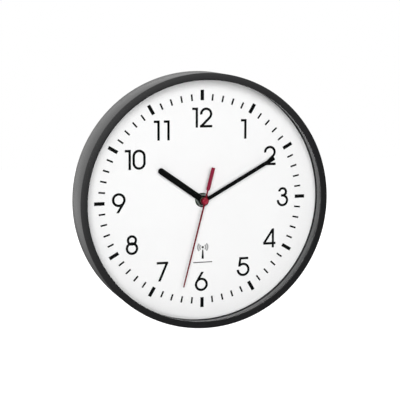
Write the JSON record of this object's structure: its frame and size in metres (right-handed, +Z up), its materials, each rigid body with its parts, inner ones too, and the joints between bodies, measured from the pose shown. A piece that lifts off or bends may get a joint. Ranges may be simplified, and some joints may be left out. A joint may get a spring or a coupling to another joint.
{
  "type": "radio-controlled wall clock",
  "caption": "Round wall clock with a slim dark case, white dial with plain numerals, three hands, a geared radio-controlled movement and a keyhole hanger.",
  "frame": {"origin": "centre of the keyhole's round hole, on the wall side of the hanger bracket, in the plane of the case's back edge", "axes": "+Z up, the dial faces -Y, +Y points into the wall along the hands' axis, +X to the right seen from the front"},
  "size_m": [0.25, 0.0381, 0.25],
  "materials": {
    "black_case_plastic": "semi-gloss injection-moulded ABS",
    "clear_glass": "clear float glass",
    "spacer_plastic": "satin dark grey polystyrene",
    "dial_white": "matt white printed sheet",
    "black_ink": "screen-printed black ink",
    "grey_ink": "screen-printed grey ink",
    "black_back_plastic": "fine spark-eroded black ABS",
    "screw_steel": "zinc-plated steel",
    "nut_metal": "nickel-plated",
    "hand_black": "black painted aluminium",
    "hand_red": "crimson painted aluminium",
    "hub_red": "crimson moulded plastic",
    "collet_brass": "turned brass, dulled",
    "gear_plastic": "natural acetal",
    "arbor_steel": "bright steel",
    "magnet_ferrite": "ferrite",
    "stator_iron": "annealed electrical iron",
    "bobbin_plastic": "white nylon",
    "copper_wire": "enamelled copper wire",
    "board_green": "solder-masked laminate",
    "chip_black": "black epoxy",
    "switch_black": "black moulded plastic",
    "contact_steel": "nickel-plated spring steel",
    "battery_can": "printed sleeve on steel",
    "button_grey": "grey moulded plastic"
  },
  "bodies": {
    "clock_case": {"case_rim": "black_case_plastic", "front_glass": "clear_glass", "spacer_ring": "spacer_plastic", "dial_sheet": "dial_white", "numerals": "black_ink", "hour_marks": "black_ink", "minute_marks": "black_ink", "radio_symbol": "grey_ink", "carrier_plate": "black_back_plastic", "hanger_bracket": "black_back_plastic", "hanger_screws": "screw_steel", "bush_washer": "nut_metal", "bush_nut": "nut_metal", "movement_front_case": "black_back_plastic", "movement_middle_plate": "gear_plastic", "movement_rear_cover": "black_back_plastic", "second_stator": "stator_iron", "minute_stator": "stator_iron", "second_coil_bobbin": "bobbin_plastic", "minute_coil_bobbin": "bobbin_plastic", "second_coil_winding": "copper_wire", "minute_coil_winding": "copper_wire", "antenna_rod": "magnet_ferrite", "antenna_winding": "copper_wire", "circuit_board": "board_green", "receiver_chip": "chip_black", "crystals": "contact_steel", "board_switches": "switch_black", "positive_contact": "contact_steel", "negative_contact": "contact_steel"},
    "minute_drive": {"minute_wheel": "gear_plastic", "minute_hand": "hand_black", "minute_hand_collet": "collet_brass"},
    "hour_drive": {"hour_wheel": "gear_plastic", "hour_hand": "hand_black", "hour_hand_collet": "collet_brass"},
    "second_drive": {"second_arbor": "arbor_steel", "second_wheel": "gear_plastic", "second_hand": "hand_red", "second_hand_hub": "hub_red"},
    "reversing_wheel": {"reversing_wheel": "gear_plastic"},
    "third_wheel": {"third_wheel": "gear_plastic"},
    "intermediate_wheel": {"intermediate_wheel": "gear_plastic"},
    "minute_rotor": {"minute_rotor_pinion": "gear_plastic", "minute_rotor_magnet": "magnet_ferrite"},
    "second_rotor": {"second_rotor_pinion": "gear_plastic", "second_rotor_magnet": "magnet_ferrite"},
    "battery": {"battery": "battery_can"},
    "reset_button": {"reset_button": "button_grey"},
    "set_button": {"set_button": "button_grey"},
    "signal_button": {"signal_button": "button_grey"}
  },
  "joints": [
    {"name": "minute_spin", "type": "hinge", "parent": "clock_case", "child": "minute_drive", "pos_m": [0, -0.02, -0.096], "axis": [0, 1, 0], "continuous": true},
    {"name": "hour_spin", "type": "hinge", "parent": "clock_case", "child": "hour_drive", "pos_m": [0, -0.02, -0.096], "axis": [0, 1, 0], "continuous": true},
    {"name": "second_spin", "type": "hinge", "parent": "clock_case", "child": "second_drive", "pos_m": [0, -0.02, -0.096], "axis": [0, 1, 0], "continuous": true},
    {"name": "reversing_spin", "type": "hinge", "parent": "clock_case", "child": "reversing_wheel", "pos_m": [0, -0.013, -0.084], "axis": [0, 1, 0], "continuous": true},
    {"name": "third_spin", "type": "hinge", "parent": "clock_case", "child": "third_wheel", "pos_m": [-0.01225, -0.01, -0.096], "axis": [0, 1, 0], "continuous": true},
    {"name": "intermediate_spin", "type": "hinge", "parent": "clock_case", "child": "intermediate_wheel", "pos_m": [0.0126, -0.009, -0.096], "axis": [0, 1, 0], "continuous": true},
    {"name": "minute_rotor_spin", "type": "hinge", "parent": "clock_case", "child": "minute_rotor", "pos_m": [-0.01827, -0.011, -0.1046], "axis": [0, 1, 0], "continuous": true},
    {"name": "second_rotor_spin", "type": "hinge", "parent": "clock_case", "child": "second_rotor", "pos_m": [0.01862, -0.011, -0.1046], "axis": [0, 1, 0], "continuous": true},
    {"name": "battery_lift", "type": "slide", "parent": "clock_case", "child": "battery", "axis": [0, 1, 0], "range_m": [0, 0.016]},
    {"name": "reset_press", "type": "slide", "parent": "clock_case", "child": "reset_button", "axis": [0, -1, 0], "range_m": [0, 0.0006], "stiffness_N_per_m": 400, "springref_m": -0.001},
    {"name": "set_press", "type": "slide", "parent": "clock_case", "child": "set_button", "axis": [0, -1, 0], "range_m": [0, 0.0006], "stiffness_N_per_m": 400, "springref_m": -0.001},
    {"name": "signal_press", "type": "slide", "parent": "clock_case", "child": "signal_button", "axis": [0, -1, 0], "range_m": [0, 0.0006], "stiffness_N_per_m": 400, "springref_m": -0.001}
  ],
  "couplings": [
    {"joint": "hour_spin", "follows": "minute_spin", "ratio": 0.083333},
    {"joint": "reversing_spin", "follows": "minute_spin", "ratio": -0.33333},
    {"joint": "third_spin", "follows": "minute_spin", "ratio": -6},
    {"joint": "minute_rotor_spin", "follows": "minute_spin", "ratio": 36},
    {"joint": "intermediate_spin", "follows": "second_spin", "ratio": -5},
    {"joint": "second_rotor_spin", "follows": "second_spin", "ratio": 30}
  ]
}
